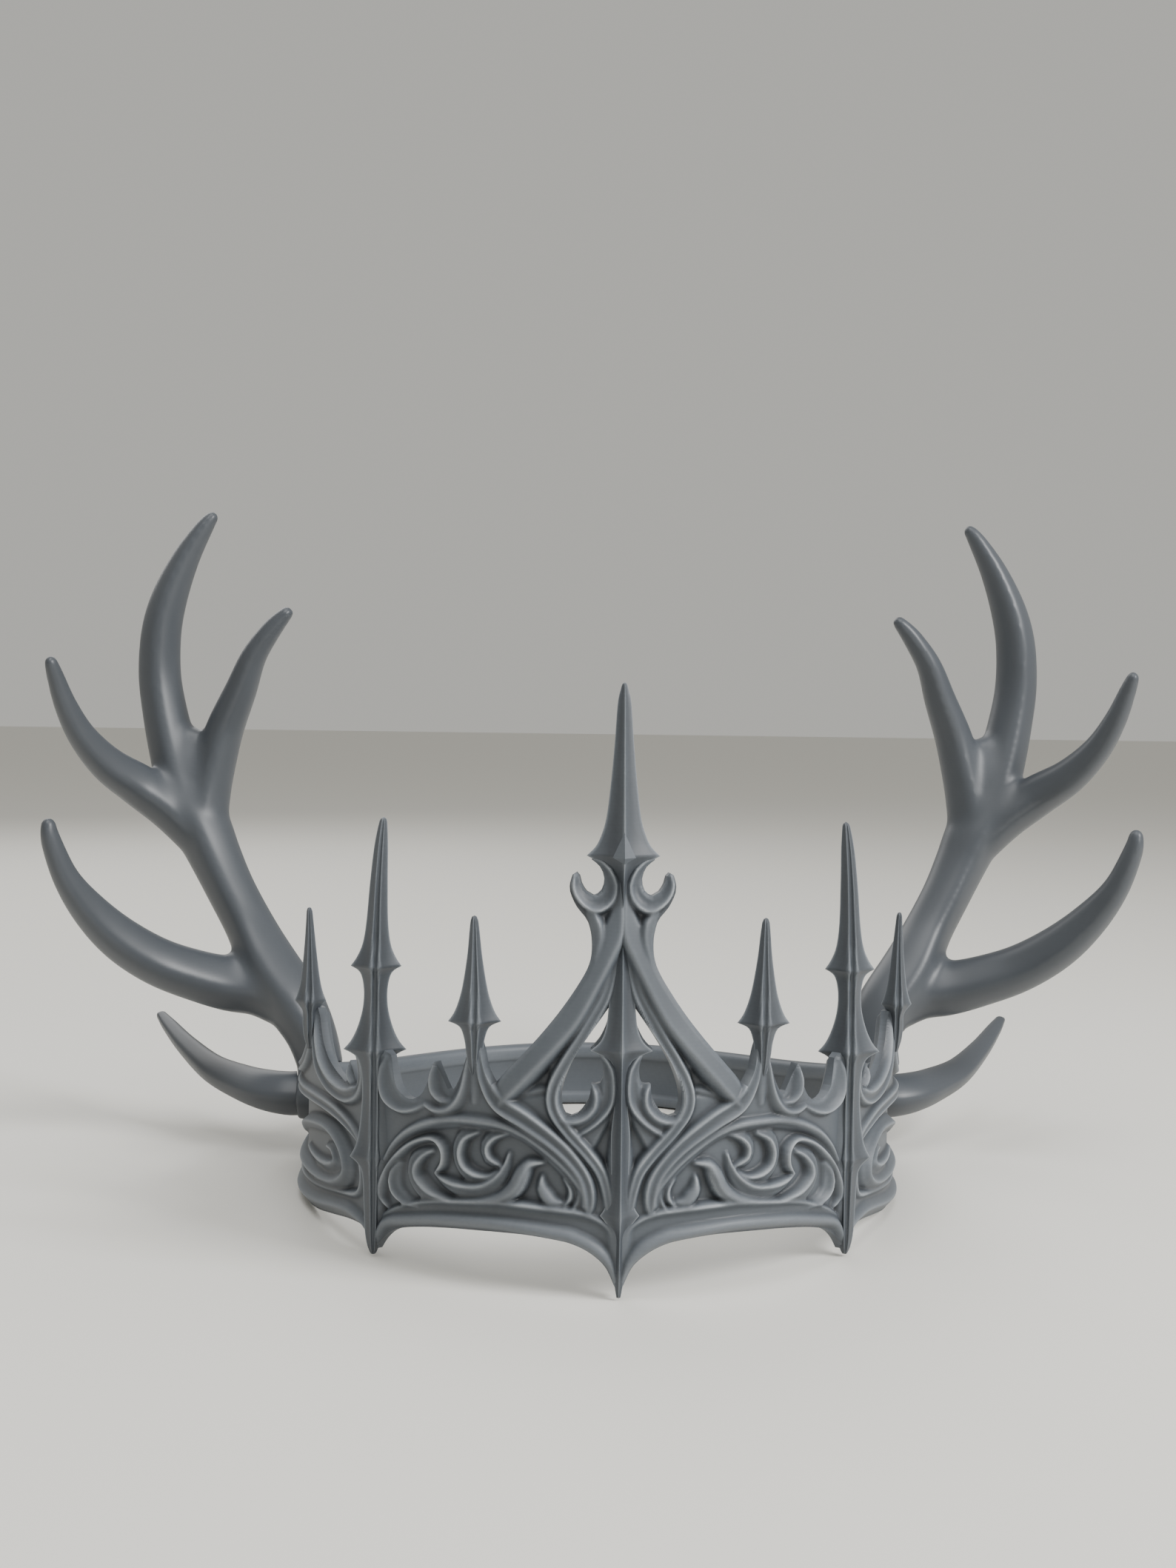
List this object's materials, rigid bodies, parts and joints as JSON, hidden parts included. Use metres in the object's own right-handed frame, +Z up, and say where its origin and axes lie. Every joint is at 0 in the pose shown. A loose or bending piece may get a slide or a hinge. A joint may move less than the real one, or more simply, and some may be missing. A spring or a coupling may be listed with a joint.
{
  "type": "antler crown",
  "caption": "Open crown with a tall pierced Gothic front wall and spires, a low plain band behind the head, and a branched antler rising from each side.",
  "frame": {"origin": "under the middle of the crown's box, on the surface it stands on", "axes": "+Z up, the carved front faces -Y, the antlers spread along +X and -X"},
  "size_m": [0.3472, 0.221, 0.2081],
  "materials": {
    "cast_grey": "matt mid-grey printed plastic with a faint sheen",
    "antler_grey": "matt dark grey printed plastic"
  },
  "bodies": {
    "root": {"front_crown": "cast_grey", "back_band": "cast_grey", "antler_left": "antler_grey", "antler_right": "antler_grey", "brow_tine_left": "antler_grey", "brow_tine_right": "antler_grey"}
  },
  "joints": []
}
